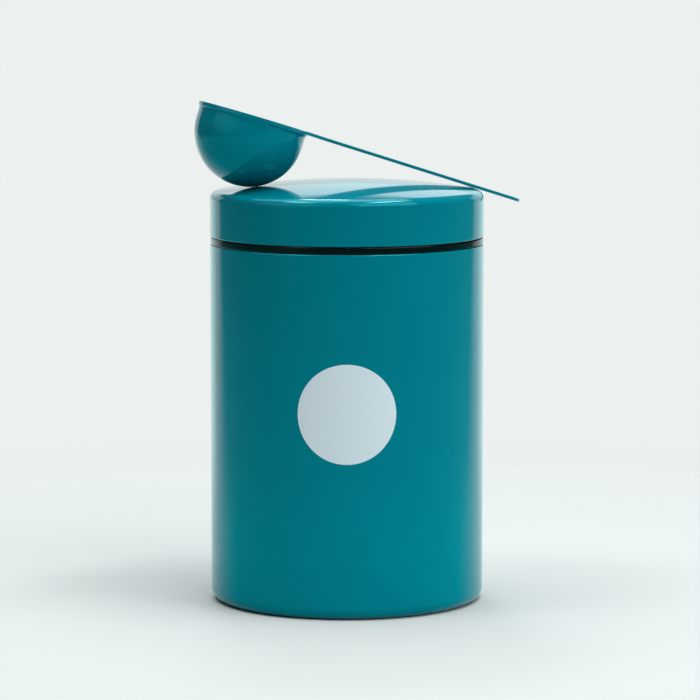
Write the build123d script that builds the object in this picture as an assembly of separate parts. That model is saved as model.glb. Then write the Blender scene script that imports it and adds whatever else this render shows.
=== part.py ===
"""Storage canister with a push-in lid and a measuring scoop that rests on the lid.

Frame: +Z up, origin at the centre of the foot, the scoop's handle towards +X, front towards -Y.
All sizes are in millimetres.
"""
from build123d import *
import math
import os

# Can: a drawn steel cup, its wall folded in at the mouth
can_diameter = 112.0
can_height = 146.5
can_sheet = 0.6
base_corner_radius = 4.8
foot_width = 4.0
base_recess = 2.4
recess_bend = 2.0
mouth_hem = 9.0

# Lid cap: a drawn steel cover with a low crown, its lower edge folded in
cap_height = 23.1
cap_sheet = 0.6
cap_crown_radius = 332.0
cap_shoulder_radius = 3.4
cap_hem = 6.0

# Lid insert: the moulded plug, its flange shows between can and cap
flange_height = 2.9
flange_inset = 0.15
flange_edge_radius = 0.5
plug_depth = 11.0
plug_gap = 1.4
plug_lead_in = 1.0
insert_wall = 1.8
insert_web = 1.6
collar_rise = 2.4
snap_bead_reach = 0.45
rib_count = 8
rib_thickness = 1.4
rib_height = 5.0
hub_radius = 9.0

# Seal: a soft ring with two lips in the plug's groove
seal_height = 4.0
seal_depth = 1.6
seal_offset = 3.6
lip_root = 1.4
lip_thickness = 0.5
lip_rise = 0.7

# Scoop: one pressing, a half ball with a turned-out lip that runs out into a flat handle
bowl_radius = 22.35
bowl_collar = 6.5
scoop_sheet = 1.3
lip_reach = 0.6
root_bend = 1.5
handle_length = 96.0
handle_width = 15.0
handle_flare_blend = 30.0
handle_edge_radius = 0.35
handle_droop = 0.8
bowl_offset = 40.88
scoop_yaw = 15.0

# Clearances
seat_gap = 0.1
cap_fit = 0.15
seal_fit = 0.05
lip_clearance = 0.25
rest_gap = 0.05

can_radius = can_diameter / 2
mouth_radius = can_radius - 2 * can_sheet
flange_bottom = can_height + seat_gap
flange_top = flange_bottom + flange_height
cap_edge = flange_top + seat_gap
cap_top = cap_edge + cap_height
plug_bottom = flange_bottom - plug_depth
plug_radius = mouth_radius - plug_gap
groove_radius = plug_radius - seal_depth
groove_top = flange_bottom - seal_offset
groove_bottom = groove_top - seal_height
standing = (Align.CENTER, Align.CENTER, Align.MIN)


def turned(section):
    """Solid of a half section, drawn as (radius, height), turned about the vertical axis."""
    return revolve(Plane.XZ * section, Axis.Z)


def hem(radius, sheet, edge, depth, upward):
    """Half section of a wall's edge folded in against itself, with its round fold at height edge."""
    way = 1 if upward else -1
    fold = edge - way * sheet
    end = edge - way * depth
    inside = radius - 2 * sheet
    middle = radius - sheet
    outline = Polyline((inside, fold), (inside, end), (middle, end), (radius, end), (radius, fold))
    return make_face(outline + ThreePointArc((radius, fold), (middle, edge), (inside, fold)))


def canister_body():
    """Cup of even sheet: raised base panel, flat foot ring, round corner, straight wall, mouth hem."""
    foot_inside = can_radius - base_corner_radius - foot_width
    panel_edge = foot_inside - base_recess
    outside = FilletPolyline(
        (0, base_recess),
        (panel_edge, base_recess),
        (foot_inside, 0),
        (can_radius, 0),
        (can_radius, can_height - can_sheet),
        radius=[recess_bend, recess_bend, base_corner_radius],
    )
    wall = make_face(offset(outside, amount=can_sheet, side=Side.LEFT))
    return turned(wall + hem(can_radius, can_sheet, can_height, mouth_hem, upward=True))


def shoulder_centre():
    """Radius and height of the centre of the cap's shoulder arc, tangent to the crown and the skirt."""
    radius = can_radius - cap_shoulder_radius
    crown_centre = cap_top - cap_crown_radius
    rise = math.sqrt((cap_crown_radius - cap_shoulder_radius) ** 2 - radius**2)
    return radius, crown_centre + rise


def lid_cap():
    """Cover of even sheet: crown arc, shoulder arc, straight skirt, hem at the lower edge."""
    radius, height = shoulder_centre()
    crown_centre = cap_top - cap_crown_radius
    lean = math.degrees(math.atan2(radius, height - crown_centre))
    crown = CenterArc((0, crown_centre), cap_crown_radius, 90, -lean)
    shoulder = CenterArc((radius, height), cap_shoulder_radius, 90 - lean, lean - 90)
    skirt = Line((can_radius, height), (can_radius, cap_edge + cap_sheet))
    outside = Wire([crown.edge(), shoulder.edge(), skirt.edge()])
    wall = make_face(offset(outside, amount=cap_sheet, side=Side.RIGHT))
    return turned(wall + hem(can_radius, cap_sheet, cap_edge, cap_hem, upward=False))


def lid_insert():
    """Moulded plug: web, skirt with a seal groove, flange, and a collar that clips over the cap's hem."""
    flange_radius = can_radius - flange_inset
    collar_radius = can_radius - 2 * cap_sheet - cap_fit
    collar_inside = collar_radius - insert_wall
    skirt_inside = groove_radius - insert_wall
    bead_bottom = cap_edge + cap_hem + seat_gap
    collar_top = bead_bottom + collar_rise
    bead_radius = collar_radius + snap_bead_reach
    web_top = plug_bottom + insert_web
    section = make_face(
        Polyline(
            (0, plug_bottom),
            (plug_radius - plug_lead_in, plug_bottom),
            (plug_radius, plug_bottom + plug_lead_in),
            (plug_radius, groove_bottom),
            (groove_radius, groove_bottom),
            (groove_radius, groove_top),
            (plug_radius, groove_top),
            (plug_radius, flange_bottom),
            (flange_radius, flange_bottom),
            (flange_radius, flange_top),
            (collar_radius, flange_top),
            (collar_radius, bead_bottom),
            (bead_radius, bead_bottom),
            (collar_radius, collar_top),
            (collar_inside, collar_top),
            (collar_inside, flange_bottom + insert_wall),
            (skirt_inside, flange_bottom + insert_wall),
            (skirt_inside, web_top),
            (0, web_top),
            close=True,
        )
    )
    body = turned(fillet(section.vertices().group_by(Axis.X)[-1], flange_edge_radius))
    reach = skirt_inside - hub_radius + insert_wall / 2
    rib = Pos(hub_radius + reach / 2, 0, web_top) * Box(reach, rib_thickness, rib_height, align=standing)
    ribs = [Rot(0, 0, 360 * step / rib_count) * rib for step in range(rib_count)]
    hub = Cylinder(hub_radius + rib_thickness / 2, rib_height, align=standing)
    hub -= Cylinder(hub_radius - rib_thickness / 2, rib_height, align=standing)
    return body + Pos(0, 0, web_top) * hub + ribs


def seal_ring():
    """Ring in the plug's groove with two lips that lean up towards the mouth."""
    inside = groove_radius + seal_fit
    lip_radius = mouth_radius - lip_clearance
    bottom = groove_bottom + seal_fit
    top = groove_top - seal_fit
    section = make_face(
        Polyline((inside, bottom), (plug_radius, bottom), (plug_radius, top), (inside, top), close=True)
    )
    for root in (bottom, (bottom + top) / 2):
        section += make_face(
            Polyline(
                (plug_radius, root),
                (lip_radius, root + lip_rise),
                (lip_radius, root + lip_rise + lip_thickness),
                (plug_radius, root + lip_root),
                close=True,
            )
        )
    return turned(section)


def handle_plan():
    """Outline of bowl and handle seen from above: a disc and a strip with a round tip, blended together."""
    half = handle_width / 2
    tip = bowl_radius + handle_length - half
    sides = Polyline((tip, half), (0, half), (0, -half), (tip, -half))
    strip = make_face(sides + RadiusArc((tip, half), (tip, -half), half))
    plan = Sketch() + Circle(bowl_radius) + strip
    return fillet(plan.vertices().group_by(Axis.X)[-2], handle_flare_blend)


def bowl():
    """Half ball and collar of even sheet about the origin, the rim bent out level all round."""
    inside = bowl_radius - scoop_sheet
    bend_radius = bowl_radius + root_bend
    bend_height = bowl_collar - scoop_sheet - root_bend
    section = make_face(
        Line((0, -inside), (0, -bowl_radius))
        + CenterArc((0, 0), bowl_radius, -90, 90)
        + Line((bowl_radius, 0), (bowl_radius, bend_height))
        + CenterArc((bend_radius, bend_height), root_bend, 180, -90)
        + Line((bend_radius, bend_height + root_bend), (bend_radius, bowl_collar))
        + CenterArc((bend_radius, bend_height), root_bend + scoop_sheet, 90, 90)
        + Line((inside, bend_height), (inside, 0))
        + CenterArc((0, 0), inside, 0, -90)
    )
    return turned(section)


def scoop_at_origin():
    """Scoop about its ball's centre: the rim is trimmed to a lip, but runs on into the handle."""
    bend_radius = bowl_radius + root_bend
    over = 2 * bowl_collar
    plan = handle_plan()
    trim = Cylinder(2 * bowl_radius, over, align=standing)
    trim -= Cylinder(bowl_radius + lip_reach, over, align=standing)
    rim = bowl() - (trim - extrude(plan, over))
    plate = extrude(plan, -scoop_sheet)
    plate = fillet(plate.faces().filter_by(Axis.Z).edges(), handle_edge_radius)
    hinge = Pos(bend_radius, 0, bowl_collar) * Rot(0, handle_droop, 0)
    plate = hinge * Pos(-bend_radius, 0, 0) * plate
    return rim + (plate - Cylinder(bend_radius, over, align=standing))


def scoop():
    """Scoop at rest: its ball on the cap's crown, the underside of its handle on the cap's far shoulder."""
    shoulder_radius, shoulder_height = shoulder_centre()
    crown_centre = cap_top - cap_crown_radius
    ball_height = crown_centre + math.sqrt((cap_crown_radius + bowl_radius + rest_gap) ** 2 - bowl_offset**2)
    droop = math.radians(handle_droop)
    underside = (bowl_radius + root_bend) * math.sin(droop) + bowl_collar * math.cos(droop) - scoop_sheet
    run = shoulder_radius + bowl_offset
    drop = ball_height - shoulder_height
    lift = underside - cap_shoulder_radius - rest_gap
    handle_slope = math.atan2(drop, run) + math.asin(lift / math.hypot(run, drop))
    bowl_tilt = math.degrees(handle_slope) - handle_droop
    print(f"scoop bowl tilt {bowl_tilt:.2f} degrees, ball centre height {ball_height:.2f}")
    rest = Rot(0, 0, scoop_yaw) * Pos(-bowl_offset, 0, ball_height) * Rot(0, bowl_tilt, 0)
    return rest * scoop_at_origin()


os.makedirs("parts", exist_ok=True)
for piece in (canister_body, lid_cap, lid_insert, seal_ring, scoop):
    export_step(piece(), f"parts/{piece.__name__}.step")
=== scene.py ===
"""Looks of a storage canister: painted can and lid, moulded plug with its seal, pressed scoop.

Everything is in metres in the frame's own axes: +Z up, front towards -Y, the scoop's handle towards +X.
"""
import logging
import math
from dataclasses import dataclass
from enum import Enum
from typing import Any

import bpy
import numpy as np
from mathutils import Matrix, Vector


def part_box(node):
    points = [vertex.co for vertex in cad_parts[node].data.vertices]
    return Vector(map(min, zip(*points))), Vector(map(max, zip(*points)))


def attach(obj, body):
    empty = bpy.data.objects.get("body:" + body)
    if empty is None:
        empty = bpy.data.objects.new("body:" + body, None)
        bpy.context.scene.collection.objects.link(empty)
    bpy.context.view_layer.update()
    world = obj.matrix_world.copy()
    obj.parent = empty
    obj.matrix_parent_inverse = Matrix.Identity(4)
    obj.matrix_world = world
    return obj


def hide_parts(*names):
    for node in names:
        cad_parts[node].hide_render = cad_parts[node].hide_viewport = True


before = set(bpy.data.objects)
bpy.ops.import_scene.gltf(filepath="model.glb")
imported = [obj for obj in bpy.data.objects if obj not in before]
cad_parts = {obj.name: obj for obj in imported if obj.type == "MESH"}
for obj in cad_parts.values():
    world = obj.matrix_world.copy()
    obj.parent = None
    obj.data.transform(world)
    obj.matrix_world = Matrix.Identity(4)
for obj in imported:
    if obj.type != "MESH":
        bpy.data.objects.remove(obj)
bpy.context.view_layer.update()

log = logging.getLogger("canister")

MM = 0.001
TURN = 2 * math.pi

# Chords of an arc: how far they may lie off it, the most that this may be of its radius, the fewest in one
CHORD_ERROR = 0.002 * MM
CHORD_SHARE = 0.1
FEWEST_CHORDS = 3

# Radius of the two bends of a folded edge, as a share of the sheet's thickness
FOLD_SHARE = 0.98

# The value that cloud noise swings about
NOISE_MIDDLE = 0.5

UV_NAME = "metres"

Colour = tuple[float, float, float]
Bend = tuple[float, float, float]


class Body(Enum):
    """The two bodies of the frame: what stands, and what lifts off."""

    CANISTER = "canister"
    LID = "lid"


class Slot(Enum):
    """A material slot of the record; the code names it here but uses it nowhere."""

    PAINT = "paint"


class Wire:
    """A value on its way through a node tree; an operator on it adds one Math node."""

    def __init__(self, graph: "Graph", socket: bpy.types.NodeSocket) -> None:
        """Keeps the graph that the socket belongs to and the socket itself."""
        self.graph = graph
        self.socket = socket

    def math(self, operation: str, left: Any, right: Any = 0.0, clamp: bool = False) -> "Wire":
        """One Math node.

        Args:
            operation: the node's own name for what it does.
            left: first value, a wire or a number.
            right: second value, a wire or a number.
            clamp: whether the result is kept between 0 and 1.

        Returns:
            The node's result.
        """
        settings = {"operation": operation, "use_clamp": clamp}
        return self.graph.node("ShaderNodeMath", settings, {"Value": left, "Value_001": right})

    def __add__(self, other: Any) -> "Wire":
        """This value plus another."""
        return self.math("ADD", self, other)

    def __radd__(self, other: Any) -> "Wire":
        """A number plus this value."""
        return self.math("ADD", other, self)

    def __sub__(self, other: Any) -> "Wire":
        """This value less another."""
        return self.math("SUBTRACT", self, other)

    def __rsub__(self, other: Any) -> "Wire":
        """A number less this value."""
        return self.math("SUBTRACT", other, self)

    def __mul__(self, other: Any) -> "Wire":
        """This value times another."""
        return self.math("MULTIPLY", self, other)

    def __rmul__(self, other: Any) -> "Wire":
        """A number times this value."""
        return self.math("MULTIPLY", other, self)

    def __truediv__(self, other: Any) -> "Wire":
        """This value divided by another."""
        return self.math("DIVIDE", self, other)

    def __rtruediv__(self, other: Any) -> "Wire":
        """A number divided by this value."""
        return self.math("DIVIDE", other, self)

    def __or__(self, other: Any) -> "Wire":
        """The larger of two values, so that masks join."""
        return self.math("MAXIMUM", self, other)

    def __ror__(self, other: Any) -> "Wire":
        """The larger of a number and this value."""
        return self.math("MAXIMUM", other, self)

    def clamped(self) -> "Wire":
        """This value kept between 0 and 1."""
        return self.math("ADD", self, 0.0, clamp=True)

    def between(self, start: float, end: float) -> "Wire":
        """How far this value has come from start to end, kept between 0 and 1."""
        return ((self - start) / (end - start)).clamped()

    def soft_step(self, width: Any) -> "Wire":
        """0 below zero and 1 above it, with a straight blend of the given width across it."""
        return (self / width + 0.5).clamped()


class Graph:
    """A node tree, emptied, with one method that puts any node into it."""

    def __init__(self, tree: bpy.types.NodeTree) -> None:
        """Empties the tree and keeps it."""
        tree.nodes.clear()
        self.tree = tree

    def node(self, kind: str, settings: dict[str, Any], inputs: dict[str, Any], output: str = "") -> Wire:
        """Adds one node.

        Args:
            kind: the node's type.
            settings: its own properties, set first.
            inputs: values or wires for its sockets, by socket identifier.
            output: identifier of the socket wanted, or empty for the first one.

        Returns:
            The wanted output; for an output node, its own first input stands in.
        """
        made = self.tree.nodes.new(kind)
        for name, value in settings.items():
            setattr(made, name, value)
        sockets = {socket.identifier: socket for socket in made.inputs}
        for name, value in inputs.items():
            if isinstance(value, Wire):
                self.tree.links.new(value.socket, sockets[name])
            else:
                sockets[name].default_value = value
        outputs = {socket.identifier: socket for socket in made.outputs}
        if not outputs:
            return Wire(self, made.inputs[0])
        return Wire(self, outputs[output] if output else made.outputs[0])

    def noise(self, place: Wire, size: float, detail: float = 2.0) -> Wire:
        """Cloud noise, which swings about NOISE_MIDDLE.

        Args:
            place: the coordinate it is read at, in metres.
            size: width of one blot, in metres.
            detail: how many finer layers it has.

        Returns:
            The noise value.
        """
        inputs = {"Vector": place, "Scale": 1.0 / size, "Detail": detail}
        return self.node("ShaderNodeTexNoise", {"noise_dimensions": "3D"}, inputs)

    def stretched(self, place: Wire, factors: tuple[float, float, float]) -> Wire:
        """The coordinate with each axis multiplied by its own factor."""
        return self.node("ShaderNodeMapping", {"vector_type": "POINT"}, {"Vector": place, "Scale": factors})

    def mixed(self, factor: Any, first: Any, second: Any) -> Wire:
        """Colour mix.

        Args:
            factor: share of the second colour, a wire or a number.
            first: colour as a wire or as four numbers.
            second: colour as a wire or as four numbers.

        Returns:
            The mixed colour.
        """
        inputs = {"Factor_Float": factor, "A_Color": first, "B_Color": second}
        return self.node("ShaderNodeMix", {"data_type": "RGBA"}, inputs, "Result_Color")

    def outlets(self, wire: Wire) -> dict[str, Wire]:
        """All outputs, by identifier, of the node that a wire comes from."""
        return {socket.identifier: Wire(self, socket) for socket in wire.socket.node.outputs}

    def parts(self, vector: Wire) -> list[Wire]:
        """The three parts of a vector."""
        first = self.node("ShaderNodeSeparateXYZ", {}, {"Vector": vector})
        return list(self.outlets(first).values())

    def bump(self, height: Wire, distance: float) -> Wire:
        """A normal that follows a height from 0 to 1 over the given distance in metres."""
        return self.node("ShaderNodeBump", {}, {"Height": height, "Distance": distance, "Strength": 1.0})


def opaque(colour: Colour) -> tuple[float, float, float, float]:
    """The colour with full alpha, as colour sockets take it."""
    return (*colour, 1.0)


def scaled(colour: Colour, factor: float) -> Colour:
    """The colour made lighter or darker by a factor."""
    return tuple(channel * factor for channel in colour)


def new_material(name: str) -> tuple[bpy.types.Material, Graph, Wire]:
    """A material with an empty node tree.

    Args:
        name: the material's name.

    Returns:
        The material, its graph, and the Object coordinate in it.
    """
    material = bpy.data.materials.new(name)
    material.use_nodes = True
    graph = Graph(material.node_tree)
    place = graph.node("ShaderNodeTexCoord", {}, {}, "Object")
    return material, graph, place


def surface(graph: Graph, inputs: dict[str, Any]) -> None:
    """Ends a material's graph in a Principled shader with the given sockets."""
    shader = graph.node("ShaderNodeBsdfPrincipled", {}, inputs)
    graph.node("ShaderNodeOutputMaterial", {}, {"Surface": shader})


@dataclass(frozen=True)
class StovedPaint:
    """Stoved enamel in one even teal: faint clouds in the colour and the gloss, fine orange peel."""

    colour: Colour = (0.0, 0.175, 0.228)
    sheen: Colour = (0.06, 0.50, 0.56)
    cloud_size: float = 28 * MM
    cloud_depth: float = 0.05
    roughness: float = 0.07
    gloss_drift: float = 0.03
    gloss_size: float = 7 * MM
    gloss_detail: float = 3.0
    peel_size: float = 1.3 * MM
    peel_detail: float = 1.0
    peel_height: float = 0.0015 * MM
    ior: float = 1.75

    def make(self) -> bpy.types.Material:
        """Builds the paint.

        Returns:
            The material.
        """
        material, graph, place = new_material("teal_paint")
        clouds = graph.noise(place, self.cloud_size)
        dark = opaque(scaled(self.colour, 1.0 - self.cloud_depth))
        light = opaque(scaled(self.colour, 1.0 + self.cloud_depth))
        drift = graph.noise(place, self.gloss_size, self.gloss_detail) - NOISE_MIDDLE
        peel = graph.noise(place, self.peel_size, self.peel_detail)
        surface(graph, {
            "Base Color": graph.mixed(clouds, dark, light),
            "Roughness": self.roughness + drift * self.gloss_drift,
            "Normal": graph.bump(peel, self.peel_height),
            "IOR": self.ior,
            "Specular Tint": opaque(self.sheen),
        })
        return material


@dataclass(frozen=True)
class MouldedBlack:
    """Glossy black moulding with faint flow marks round the axis."""

    colour: Colour = (0.0008, 0.0010, 0.0012)
    roughness: float = 0.09
    shine: float = 0.2
    flow_drift: float = 0.04
    flow_size: float = 6 * MM
    flow_stretch: float = 8.0
    grain_size: float = 0.5 * MM
    grain_lift: float = 1.6
    grain_height: float = 0.0005 * MM

    def make(self) -> bpy.types.Material:
        """Builds the moulding's finish.

        Returns:
            The material.
        """
        material, graph, place = new_material("moulded_black")
        streaks = graph.stretched(place, (1.0, 1.0, self.flow_stretch))
        flow = graph.noise(streaks, self.flow_size) - NOISE_MIDDLE
        grain = graph.noise(place, self.grain_size)
        lighter = opaque(scaled(self.colour, self.grain_lift))
        surface(graph, {
            "Base Color": graph.mixed(grain, opaque(self.colour), lighter),
            "Roughness": self.roughness + flow * self.flow_drift,
            "Normal": graph.bump(grain, self.grain_height),
            "Specular IOR Level": self.shine,
        })
        return material


@dataclass(frozen=True)
class SealRubber:
    """Soft matt rubber with a fine bloom on its skin."""

    colour: Colour = (0.020, 0.021, 0.022)
    bloom: Colour = (0.045, 0.047, 0.048)
    bloom_size: float = 3 * MM
    bloom_detail: float = 4.0
    roughness: float = 0.55
    bloom_drift: float = 0.2
    skin_size: float = 0.25 * MM
    skin_height: float = 0.01 * MM

    def make(self) -> bpy.types.Material:
        """Builds the rubber.

        Returns:
            The material.
        """
        material, graph, place = new_material("seal_rubber")
        blots = graph.noise(place, self.bloom_size, self.bloom_detail)
        skin = graph.noise(place, self.skin_size)
        surface(graph, {
            "Base Color": graph.mixed(blots, opaque(self.colour), opaque(self.bloom)),
            "Roughness": self.roughness + (blots - NOISE_MIDDLE) * self.bloom_drift,
            "Normal": graph.bump(skin, self.skin_height),
        })
        return material


@dataclass(frozen=True)
class DrawnSteel:
    """Bare drawn steel: bright, with fine rings round the axis left by the press tool."""

    colour: Colour = (0.60, 0.61, 0.62)
    ring_shade: float = 0.85
    roughness: float = 0.30
    ring_drift: float = 0.22
    ring_size: float = 0.35 * MM
    ring_detail: float = 3.0
    ring_stretch: float = 0.006
    ring_height: float = 0.004 * MM

    def make(self) -> bpy.types.Material:
        """Builds the steel; the rings follow the piece's UV map, metres round by metres along.

        Returns:
            The material.
        """
        material, graph, _ = new_material("drawn_steel")
        along = graph.node("ShaderNodeUVMap", {"uv_map": UV_NAME}, {})
        drawn = graph.stretched(along, (self.ring_stretch, 1.0, 1.0))
        rings = graph.noise(drawn, self.ring_size, self.ring_detail)
        dark = opaque(scaled(self.colour, self.ring_shade))
        surface(graph, {
            "Base Color": graph.mixed(rings, dark, opaque(self.colour)),
            "Metallic": 1.0,
            "Roughness": self.roughness + (rings - NOISE_MIDDLE) * self.ring_drift,
            "Normal": graph.bump(rings, self.ring_height),
        })
        return material


@dataclass(frozen=True)
class ScreenInk:
    """Pale screen-printed ink: a thin even film with the mesh's faint grain."""

    colour: Colour = (0.66, 0.76, 0.82)
    patch_size: float = 9 * MM
    patch_shade: float = 0.96
    roughness: float = 0.38
    grain_size: float = 0.35 * MM
    grain_drift: float = 0.15
    grain_height: float = 0.004 * MM

    def make(self) -> bpy.types.Material:
        """Builds the ink.

        Returns:
            The material.
        """
        material, graph, place = new_material("pale_ink")
        patches = graph.noise(place, self.patch_size)
        grain = graph.noise(place, self.grain_size)
        thin = opaque(scaled(self.colour, self.patch_shade))
        surface(graph, {
            "Base Color": graph.mixed(patches, thin, opaque(self.colour)),
            "Roughness": self.roughness + (grain - NOISE_MIDDLE) * self.grain_drift,
            "Normal": graph.bump(grain, self.grain_height),
        })
        return material


@dataclass(frozen=True)
class Outline:
    """A half section for turning: points as (radius, height), outward normals, the corner of each point."""

    points: np.ndarray
    normals: np.ndarray
    corners: np.ndarray


def rounded_outline(first_height: float, bends: list[Bend], last_height: float) -> Outline:
    """Straight runs from the axis and back to it, each corner between turned by an arc tangent to its runs.

    A turn by an angle t starts radius * tan(t / 2) before its corner, and its arc has as many chords as
    keep them within CHORD_ERROR. The outward normal is the heading turned a quarter to the right.

    Args:
        first_height: height on the axis where the outline starts.
        bends: radius, height and bend radius of each corner, the solid on the left hand all the way.
        last_height: height on the axis where the outline ends.

    Returns:
        The outline; its corners are counted from 1, with 0 for the start.
    """
    corners = [(radius, height) for radius, height, _ in bends]
    stations = np.array([(0.0, first_height), *corners, (0.0, last_height)])
    runs = np.diff(stations, axis=0)
    headings = np.unwrap(np.arctan2(runs[:, 1], runs[:, 0]))
    points = [stations[:1]]
    angles = [headings[:1]]
    owners = [np.zeros(1, int)]
    for number, (*corner, radius) in enumerate(bends, start=1):
        heading = headings[number - 1]
        turn = headings[number] - heading
        step = 2 * math.acos(1 - min(CHORD_ERROR / radius, CHORD_SHARE))
        chords = max(FEWEST_CHORDS, math.ceil(abs(turn) / step))
        sweep = heading + turn * np.linspace(0, 1, chords + 1)
        left = np.stack([-np.sin(sweep), np.cos(sweep)], axis=1)
        ahead = np.array([math.cos(heading), math.sin(heading)])
        start = np.array(corner) - radius * math.tan(abs(turn) / 2) * ahead
        points.append(start + math.copysign(radius, turn) * (left[0] - left))
        angles.append(sweep)
        owners.append(np.full(len(sweep), number))
    points.append(stations[-1:])
    angles.append(headings[-1:])
    owners.append(np.full(1, len(stations) - 1))
    sweep = np.concatenate(angles)
    normals = np.stack([np.sin(sweep), -np.cos(sweep)], axis=1)
    return Outline(np.concatenate(points), normals, np.concatenate(owners))


def new_piece(name: str, mesh: bpy.types.Mesh, materials: list[bpy.types.Material]) -> bpy.types.Object:
    """An object at the origin for a finished mesh.

    Args:
        name: the piece's name.
        mesh: its mesh, in the frame's own place.
        materials: its finishes, in the order of the mesh's material numbers.

    Returns:
        The object, linked to the scene.
    """
    for material in materials:
        mesh.materials.append(material)
    piece = bpy.data.objects.new(name, mesh)
    bpy.context.scene.collection.objects.link(piece)
    return piece


def closed_skin(name: str, grid: np.ndarray, poles: np.ndarray) -> bpy.types.Mesh:
    """A smooth closed skin over a grid of points and a pole at each end of it.

    Quads join each row to the next, a fan joins the first row to the first pole, another the last row to
    the last pole. Seen from outside with the rows running up, the columns run to the right.

    Args:
        name: the mesh's name.
        grid: points by row and column; the columns go all the way round.
        poles: the first and the last pole.

    Returns:
        The mesh.
    """
    rows, columns, _ = grid.shape
    index = np.arange(rows * columns).reshape(rows, columns)
    beside = np.roll(index, -1, axis=1)
    pole = np.full(columns, index.size)
    first_fan = np.stack([pole, beside[0], index[0]], axis=1)
    quads = np.stack([index[:-1], beside[:-1], beside[1:], index[1:]], axis=2).reshape(-1, 4)
    last_fan = np.stack([index[-1], beside[-1], pole + 1], axis=1)
    mesh = bpy.data.meshes.new(name)
    vertices = np.concatenate([grid.reshape(-1, 3), poles])
    mesh.from_pydata(vertices, [], first_fan.tolist() + quads.tolist() + last_fan.tolist())
    mesh.polygons.foreach_set("use_smooth", np.ones(len(mesh.polygons), bool))
    mesh.update()
    return mesh


def carried_round(pairs: np.ndarray, columns: int) -> np.ndarray:
    """Carries pairs of a half section round the axis.

    A pair (radius, height) becomes (radius * cosine, radius * sine, height) of each column's angle, its
    share of a full turn that starts at the back.

    Args:
        pairs: one (radius, height) for each row.
        columns: steps in a full turn.

    Returns:
        Points by row and column.
    """
    turn = TURN * np.arange(columns) / columns + TURN / 4
    ring = np.stack([np.cos(turn), np.sin(turn)], axis=1)
    level = pairs[:, None, :1] * ring
    height = np.broadcast_to(pairs[:, None, 1:], (len(pairs), columns, 1))
    return np.concatenate([level, height], axis=2)


def on_axis(pairs: np.ndarray) -> np.ndarray:
    """The heights of the first and the last pair as two points on the axis."""
    return np.array([[0.0, 0.0, pairs[0, 1]], [0.0, 0.0, pairs[-1, 1]]])


def uv_pairs(around: np.ndarray, along: np.ndarray) -> np.ndarray:
    """Rows of (metres round, metres along) from two arrays that fit one shape together."""
    return np.stack(np.broadcast_arrays(around, along), axis=-1).reshape(-1, 2)


def metres_map(outline: Outline, columns: int) -> np.ndarray:
    """UV of a turned skin: metres round at the widest radius, and metres along the outline.

    A triangle at a pole has its tip in the middle of its column.

    Args:
        outline: the half section.
        columns: steps in a full turn.

    Returns:
        One row for each corner of each face, in the order of closed_skin's faces.
    """
    runs = np.linalg.norm(np.diff(outline.points, axis=0), axis=1)
    along = np.concatenate([[0.0], np.cumsum(runs)])
    around = TURN * outline.points[:, 0].max() * np.arange(columns + 1) / columns
    low, high = along[1:-2], along[2:-1]
    near, far = around[:-1], around[1:]
    middle = (near + far) / 2
    quads_along = np.stack([low, low, high, high], axis=1)
    return np.concatenate([
        uv_pairs(np.stack([middle, far, near], axis=1), along[[0, 1, 1]]),
        uv_pairs(np.stack([near, far, far, near], axis=1), quads_along[:, None]),
        uv_pairs(np.stack([near, far, middle], axis=1), along[[-2, -2, -1]]),
    ])


def turned_mesh(name: str, outline: Outline, columns: int, zones: np.ndarray) -> bpy.types.Mesh:
    """Turns an outline whose two ends lie on the axis into a closed skin.

    The points and the normals are the outline's, carried round the axis; its ends are the poles.

    Args:
        name: the mesh's name.
        outline: the half section.
        columns: steps in a full turn.
        zones: the material number of each run between two outline points.

    Returns:
        The mesh.
    """
    grid = carried_round(outline.points[1:-1], columns)
    mesh = closed_skin(name, grid, on_axis(outline.points))
    layer = mesh.uv_layers.new(name=UV_NAME)
    layer.data.foreach_set("uv", metres_map(outline, columns).ravel())
    mesh.polygons.foreach_set("material_index", np.repeat(zones, columns).astype(np.int32))
    normals = carried_round(outline.normals[1:-1], columns).reshape(-1, 3)
    mesh.normals_split_custom_set_from_vertices(np.concatenate([normals, on_axis(outline.normals)]))
    mesh.update()
    return mesh


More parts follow.
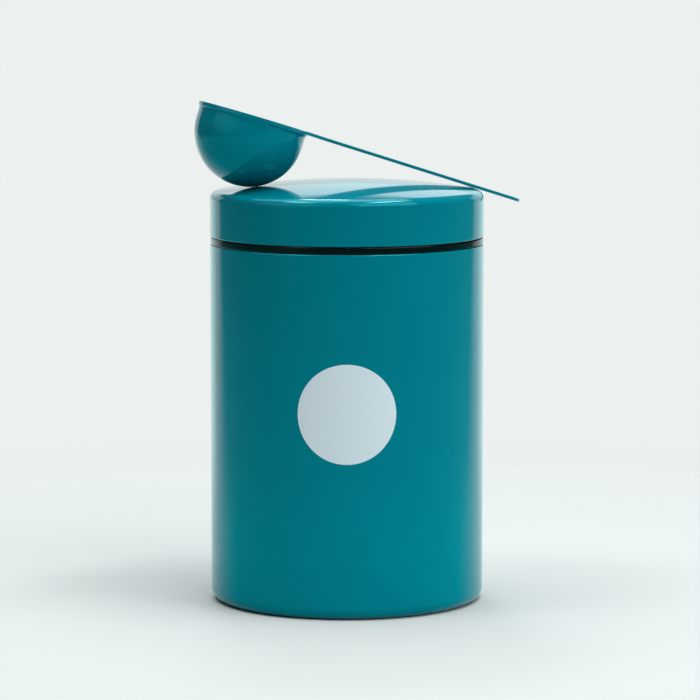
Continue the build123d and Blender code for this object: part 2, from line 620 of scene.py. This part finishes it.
@dataclass
class Canister:
    """The drawn can: raised base panel, foot ring, round corner, straight wall, mouth folded in."""

    sheet: float = 0.6 * MM
    corner_radius: float = 4.8 * MM
    foot_width: float = 4.0 * MM
    base_recess: float = 2.4 * MM
    recess_bend: float = 2.0 * MM
    mouth_hem: float = 9.0 * MM
    edge_round: float = 0.12 * MM
    columns: int = 256

    def __post_init__(self) -> None:
        """Takes the can's radius and height from the frame."""
        _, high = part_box("canister_body")
        self.radius = high.x
        self.height = high.z

    def section(self) -> tuple[Outline, int]:
        """The can's half section, from the base's outside round to its inside.

        Returns:
            The outline, and the number of the corner where the bare inside starts.
        """
        foot_inside = self.radius - self.corner_radius - self.foot_width
        panel_edge = foot_inside - self.base_recess
        mouth = self.radius - 2 * self.sheet
        wall = self.radius - self.sheet
        slope = math.atan2(self.base_recess, foot_inside - panel_edge)
        slant = self.sheet * math.tan(slope / 2)
        floor = self.base_recess + self.sheet
        fold = self.sheet * FOLD_SHARE
        hem_end = (mouth, self.height - self.mouth_hem, self.edge_round)
        bends = [
            (panel_edge, self.base_recess, self.recess_bend),
            (foot_inside, 0.0, self.recess_bend),
            (self.radius, 0.0, self.corner_radius),
            (self.radius, self.height, fold),
            (mouth, self.height, fold),
            hem_end,
            (wall, self.height - self.mouth_hem, self.edge_round),
            (wall, self.sheet, self.corner_radius - self.sheet),
            (foot_inside + slant, self.sheet, self.recess_bend - self.sheet),
            (panel_edge + slant, floor, self.recess_bend + self.sheet),
        ]
        return rounded_outline(self.base_recess, bends, floor), 1 + bends.index(hem_end)

    def build(self, paint: bpy.types.Material, steel: bpy.types.Material) -> bpy.types.Object:
        """Makes the can, painted outside and over its rim, bare inside below the folded mouth.

        Args:
            paint: finish of the outside.
            steel: finish of the inside.

        Returns:
            The piece.
        """
        outline, bare_from = self.section()
        zones = (outline.corners[:-1] >= bare_from).astype(int)
        mesh = turned_mesh("can_shell", outline, self.columns, zones)
        piece = new_piece("can_shell", mesh, [paint, steel])
        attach(piece, Body.CANISTER.value)
        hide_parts("canister_body")
        return piece


@dataclass
class PrintedDisc:
    """A plain printed disc on the can's front: a film of ink that follows the wall."""

    disc_radius: float = 20 * MM
    centre_height: float = 83 * MM
    film: float = 0.04 * MM
    root: float = 0.2 * MM
    feather: float = 0.25 * MM
    rings: int = 23
    feather_rings: int = 5
    spokes: int = 128

    def build(self, can: Canister, ink: bpy.types.Material) -> bpy.types.Object:
        """Makes the disc.

        The film is a shallow drum: its face stands a film's height off the wall and rounds off at its rim,
        its back lies inside the sheet. A point at (reach, spoke) lies reach from the centre, measured along
        the wall, so its angle round the can is its sideways reach over the can's radius. The spokes go
        round clockwise.

        Args:
            can: the can that it is printed on.
            ink: its finish.

        Returns:
            The piece.
        """
        fade = np.linspace(0, TURN / 4, self.feather_rings + 1)[1:]
        level = np.linspace(0, self.disc_radius - self.feather, self.rings + 1)[1:]
        rim = self.disc_radius - self.feather * (1 - np.sin(fade))
        reach = np.concatenate([level, rim, level[::-1]])[:, None]
        front = np.full(self.rings, self.film)
        back = np.full(self.rings, -self.root)
        out = can.radius + np.concatenate([front, self.film * np.cos(fade), back])[:, None]
        spoke = -TURN * np.arange(self.spokes) / self.spokes
        angle = reach * np.cos(spoke) / can.radius
        height = self.centre_height + reach * np.sin(spoke)
        grid = np.stack([out * np.sin(angle), -out * np.cos(angle), height], axis=2)
        poles = np.array([[0.0, -end, self.centre_height] for end in (out[0, 0], out[-1, 0])])
        piece = new_piece("printed_disc", closed_skin("printed_disc", grid, poles), [ink])
        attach(piece, Body.CANISTER.value)
        return piece


@dataclass
class Lid:
    """The lid: drawn cap with a low crown, moulded plug clipped into it, seal ring in the plug's groove."""

    sheet: float = 0.6 * MM
    crown_radius: float = 332 * MM
    shoulder_radius: float = 3.4 * MM
    hem: float = 6.0 * MM
    edge_round: float = 0.12 * MM
    columns: int = 256

    def __post_init__(self) -> None:
        """Takes the cap's radius, lower edge and top from the frame."""
        low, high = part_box("lid_cap")
        self.radius = high.x
        self.edge = low.z
        self.top = high.z

    def crown_bends(self, inset: float) -> list[Bend]:
        """The crown and the shoulder as two rounded corners of one outline.

        The crown's arc starts level on the axis and leans over by the angle at which it meets the
        shoulder's arc; as a corner it lies where the level line meets the leaning one.

        Args:
            inset: distance inside the cap's outer face.

        Returns:
            The crown's corner and the shoulder's corner.
        """
        across = self.radius - self.shoulder_radius
        lean = math.asin(across / (self.crown_radius - self.shoulder_radius))
        bend = self.crown_radius - inset
        level = self.top - inset
        crown = bend * math.tan(lean / 2)
        wall = self.radius - inset
        return [
            (crown, level, bend),
            (wall, level - (wall - crown) * math.tan(lean), self.shoulder_radius - inset),
        ]

    def section(self) -> tuple[Outline, int]:
        """The cap's half section, from the inside of the crown down, round the edge and up to the top.

        Returns:
            The outline, and the number of the corner where the painted outside starts.
        """
        fold_wall = self.radius - 2 * self.sheet
        wall = self.radius - self.sheet
        fold = self.sheet * FOLD_SHARE
        hem_end = (fold_wall, self.edge + self.hem, self.edge_round)
        bends = [
            *self.crown_bends(self.sheet),
            (wall, self.edge + self.hem, self.edge_round),
            hem_end,
            (fold_wall, self.edge, fold),
            (self.radius, self.edge, fold),
            *reversed(self.crown_bends(0.0)),
        ]
        return rounded_outline(self.top - self.sheet, bends, self.top), 1 + bends.index(hem_end)

    def build(self, paint: bpy.types.Material, steel: bpy.types.Material) -> bpy.types.Object:
        """Makes the cap, painted outside and round its folded edge, bare inside.

        Args:
            paint: finish of the outside.
            steel: finish of the inside.

        Returns:
            The piece.
        """
        outline, painted_from = self.section()
        zones = (outline.corners[:-1] < painted_from).astype(int)
        mesh = turned_mesh("cap_shell", outline, self.columns, zones)
        piece = new_piece("cap_shell", mesh, [paint, steel])
        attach(piece, Body.LID.value)
        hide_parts("lid_cap")
        return piece

    def dress(self, moulding: bpy.types.Material, rubber: bpy.types.Material) -> None:
        """Gives the plug and the seal ring, which keep their solids, their finishes.

        Args:
            moulding: finish of the plug.
            rubber: finish of the seal ring.
        """
        dress_node("lid_insert", moulding)
        dress_node("seal_ring", rubber)


@dataclass
class Scoop:
    """The pressed scoop that rests on the lid."""

    def dress(self, paint: bpy.types.Material) -> None:
        """Paints the scoop all over.

        Args:
            paint: its finish.
        """
        dress_node("scoop", paint)


def dress_node(name: str, material: bpy.types.Material) -> None:
    """Puts one finish on a node of the frame.

    Args:
        name: the node's name.
        material: the finish.
    """
    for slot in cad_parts[name].material_slots:
        slot.material = material
    log.info("%s: %s", name, material.name)


def compass(azimuth: float, elevation: float) -> Vector:
    """The direction to a point in the room, in degrees, azimuth counted from the front to the right."""
    turn, rise = math.radians(azimuth), math.radians(elevation)
    return Vector((math.cos(rise) * math.sin(turn), -math.cos(rise) * math.cos(turn), math.sin(rise)))


def off_back(side: Wire, back: Wire) -> Wire:
    """The angle of a direction away from straight back, the same to either side."""
    return side.math("ARCTAN2", side.math("ABSOLUTE", side), back)


@dataclass(frozen=True)
class SoftBox:
    """A wide lamp that looks at the object from a direction and a distance."""

    name: str
    azimuth: float
    elevation: float
    width: float
    height: float
    watts: float
    distance: float = 1.5
    colour: Colour = (1.0, 1.0, 1.0)

    def place(self, target: Vector) -> None:
        """Hangs the lamp.

        Args:
            target: the point that it looks at.
        """
        away = self.distance * compass(self.azimuth, self.elevation)
        lamp = bpy.data.lights.new(self.name, "AREA")
        lamp.shape = "RECTANGLE"
        lamp.size = self.width
        lamp.size_y = self.height
        lamp.energy = self.watts
        lamp.color = self.colour
        holder = bpy.data.objects.new(self.name, lamp)
        holder.location = target + away
        holder.rotation_euler = away.to_track_quat("Z", "Y").to_euler()
        bpy.context.scene.collection.objects.link(holder)


@dataclass
class Studio:
    """Pale floor that fades into a pale backdrop, soft lamps, and the camera at the photograph's angle.

    Lengths are in metres, but lens and sensor in millimetres; all angles are in degrees.
    """

    backdrop: Colour = (0.839, 0.871, 0.863)
    backdrop_top: Colour = (0.90, 1.0, 1.0)
    backdrop_half_angle: float = 44.2
    backdrop_rise: float = 5.0
    backdrop_end: float = 20.5
    backdrop_blur: float = 3.0
    room: Colour = (0.05, 0.05, 0.05)
    haze: Colour = (0.05, 0.18, 0.18)
    haze_height: float = 35.0
    window: Colour = (0.9, 1.0, 1.0)
    window_azimuth: float = -51.0
    window_elevation: float = 27.0
    window_inner: float = 6.0
    window_outer: float = 36.0
    ground: Colour = (0.15, 0.85, 0.84)
    ground_far: float = 3.2
    ground_near: float = 9.5
    ground_spread: float = 20.0
    ground_widening: float = 8.0
    fill_dim: Colour = (0.06, 0.063, 0.063)
    fill_bright: Colour = (0.72, 0.74, 0.74)
    fill_azimuth: float = 107.0
    edge_tint: Colour = (0.4, 0.95, 0.82)
    aim_height: float = 0.10
    floor_radius: float = 0.50
    floor_fade: float = 0.22
    floor_spokes: int = 96
    floor_colour: Colour = (0.50, 0.54, 0.535)
    floor_grain: float = 2 * MM
    floor_shade: float = 0.99
    floor_behind: Colour = (0.52, 0.62, 0.615)
    floor_tint: Colour = (0.03, 0.62, 0.615)
    floor_tint_from: float = 38.0
    floor_tint_to: float = 72.0
    camera_distance: float = 1.4896
    camera_height: float = 0.2720
    camera_pitch: float = 6.49
    camera_yaw: float = 0.0487
    camera_reach: float = 20.0
    lens: float = 187.66
    sensor: float = 36.0

    def lamps(self) -> list[SoftBox]:
        """A broad key, one lamp overhead, small ones high up, a low panel behind, two edge lights."""
        edge = {"elevation": -6.5, "width": 0.74, "height": 0.4, "distance": 2.0, "colour": self.edge_tint}
        return [
            SoftBox("key", azimuth=37, elevation=40, width=1.42, height=1.0, watts=12.2, distance=1.6),
            SoftBox("overhead", azimuth=-150, elevation=76, width=1.6, height=1.4, watts=17),
            SoftBox("high_right", azimuth=68, elevation=69.6, width=0.6, height=0.27, watts=8),
            SoftBox("high_left", azimuth=-66, elevation=61.7, width=0.46, height=0.3, watts=4.5),
            SoftBox("high_back", azimuth=189, elevation=51.6, width=0.3, height=0.26, watts=3.5),
            SoftBox("back_panel", azimuth=180, elevation=16.8, width=2, height=0.36, watts=0.6, distance=2),
            SoftBox("edge_left", azimuth=-154, watts=0.33, **edge),
            SoftBox("edge_right", azimuth=154, watts=0.28, **edge),
        ]

    def build(self) -> None:
        """Sets up floor, world, lamps and camera."""
        scene = bpy.context.scene
        scene.view_settings.view_transform = "Standard"
        self.lay_floor()
        self.light_world()
        for lamp in self.lamps():
            lamp.place(Vector((0.0, 0.0, self.aim_height)))
        self.set_camera()

    def lay_floor(self) -> None:
        """A round floor, one flat face whose rim has a point at each spoke's share of a full turn."""
        turn = TURN * np.arange(self.floor_spokes) / self.floor_spokes
        rim = self.floor_radius * np.stack([np.cos(turn), np.sin(turn), np.zeros_like(turn)], axis=1)
        mesh = bpy.data.meshes.new("floor")
        mesh.from_pydata(rim, [], [np.arange(self.floor_spokes).tolist()])
        floor = new_piece("floor", mesh, [self.floor_finish()])

    def floor_finish(self) -> bpy.types.Material:
        """Pale matt board that turns clear towards the floor's edge.

        Reflections that run straight back see it plain, and those that run aside see it tinted; the tint
        comes in from floor_tint_from to floor_tint_to degrees away from straight back.

        Returns:
            The material.
        """
        material, graph, place = new_material("pale_board")
        distance = graph.node("ShaderNodeVectorMath", {"operation": "LENGTH"}, {"Vector": place}, "Value")
        clear = distance.between(self.floor_fade, self.floor_radius)
        grain = graph.noise(place, self.floor_grain)
        shade = scaled(self.floor_colour, self.floor_shade)
        pale = graph.mixed(grain, opaque(shade), opaque(self.floor_colour))
        side, front, _ = graph.parts(graph.node("ShaderNodeNewGeometry", {}, {}, "Incoming"))
        angle = off_back(side, 0.0 - front)
        aside = angle.between(math.radians(self.floor_tint_from), math.radians(self.floor_tint_to))
        mirrored = graph.mixed(aside, opaque(self.floor_behind), opaque(self.floor_tint))
        shiny = graph.node("ShaderNodeLightPath", {}, {}, "Is Glossy Ray")
        board = graph.node("ShaderNodeBsdfDiffuse", {}, {"Color": graph.mixed(shiny, pale, mirrored)})
        nothing = graph.node("ShaderNodeBsdfTransparent", {}, {})
        layers = {"Fac": clear, "Shader": board, "Shader_001": nothing}
        faded = graph.node("ShaderNodeMixShader", {}, layers)
        graph.node("ShaderNodeOutputMaterial", {}, {"Surface": faded})
        return material

    def light_world(self) -> None:
        """The world: the camera sees the backdrop's colour, reflections see a room, a fill lights the rest.

        The fill grows from fill_dim to fill_bright towards fill_azimuth.
        """
        world = bpy.data.worlds.new("studio")
        world.use_nodes = True
        bpy.context.scene.world = world
        graph = Graph(world.node_tree)
        side, back, up = graph.parts(graph.node("ShaderNodeTexCoord", {}, {}, "Generated"))
        bright = compass(self.fill_azimuth, 0.0)
        share = (side * bright.x + back * bright.y).between(-1.0, 1.0)
        fill = graph.mixed(share, opaque(self.fill_dim), opaque(self.fill_bright))
        rays = graph.outlets(graph.node("ShaderNodeLightPath", {}, {}))
        shiny = rays["Is Glossy Ray"] | rays["Is Transmission Ray"]
        unseen = graph.mixed(shiny, fill, self.mirrored_room(graph, side, back, up))
        shown = graph.mixed(rays["Is Camera Ray"], unseen, opaque(self.backdrop))
        light = graph.node("ShaderNodeBackground", {}, {"Color": shown, "Strength": 1.0})
        graph.node("ShaderNodeOutputWorld", {}, {"Surface": light})

    def mirrored_room(self, graph: Graph, side: Wire, back: Wire, up: Wire) -> Wire:
        """What reflections see: the backdrop behind the object, a dim room around it, the ground below.

        The backdrop ends backdrop_half_angle from straight back and backdrop_end above the horizon, and is
        lighter away from the horizon. The room is hazy near the horizon and has a soft window at the front
        left. The ground comes in from ground_far to ground_near below the horizon, where it makes the
        backdrop wider by ground_widening and its sides softer by ground_spread.

        Args:
            graph: the world's graph.
            side: the direction's part towards the right.
            back: the direction's part towards the back.
            up: the direction's upward part.

        Returns:
            The colour.
        """
        height = up.math("ARCSINE", up)
        blur = math.radians(self.backdrop_blur)
        ground = height.between(-math.radians(self.ground_far), -math.radians(self.ground_near))
        limit = ground * math.radians(self.ground_widening) + math.radians(self.backdrop_half_angle)
        behind = (limit - off_back(side, back)).soft_step(ground * math.radians(self.ground_spread) + blur)
        below = (math.radians(self.backdrop_end) - height).soft_step(blur)
        rise = height.math("ABSOLUTE", height).between(0.0, math.radians(self.backdrop_rise))
        panel = graph.mixed(rise, opaque(self.backdrop), opaque(self.backdrop_top))
        haze = height.between(math.radians(self.haze_height), 0.0)
        room = graph.mixed(haze, opaque(self.room), opaque(self.haze))
        window = compass(self.window_azimuth, self.window_elevation)
        nearness = side * window.x + back * window.y + up * window.z
        outer, inner = math.radians(self.window_outer), math.radians(self.window_inner)
        lit = graph.mixed(nearness.between(math.cos(outer), math.cos(inner)), room, opaque(self.window))
        around = graph.mixed(ground, lit, opaque(self.ground))
        return graph.mixed(behind * below, around, panel)

    def set_camera(self) -> None:
        """Puts the camera where the photograph was taken from."""
        camera = bpy.data.cameras.new("camera")
        camera.lens = self.lens
        camera.sensor_width = self.sensor
        camera.clip_end = self.camera_reach
        holder = bpy.data.objects.new("camera", camera)
        holder.location = (0.0, -self.camera_distance, self.camera_height)
        holder.rotation_euler = (math.radians(90 - self.camera_pitch), 0.0, -math.radians(self.camera_yaw))
        bpy.context.scene.collection.objects.link(holder)
        bpy.context.scene.camera = holder


def main() -> None:
    """Builds the studio and the pieces in order, and reports each piece."""
    logging.basicConfig(level=logging.INFO, format="%(message)s")
    paint = StovedPaint().make()
    steel = DrawnSteel().make()
    Studio().build()
    can = Canister()
    pieces = [can.build(paint, steel), PrintedDisc().build(can, ScreenInk().make())]
    lid = Lid()
    pieces.append(lid.build(paint, steel))
    lid.dress(MouldedBlack().make(), SealRubber().make())
    Scoop().dress(paint)
    for piece in pieces:
        log.info("%s: %d faces", piece.name, len(piece.data.polygons))


if __name__ == "__main__":
    main()
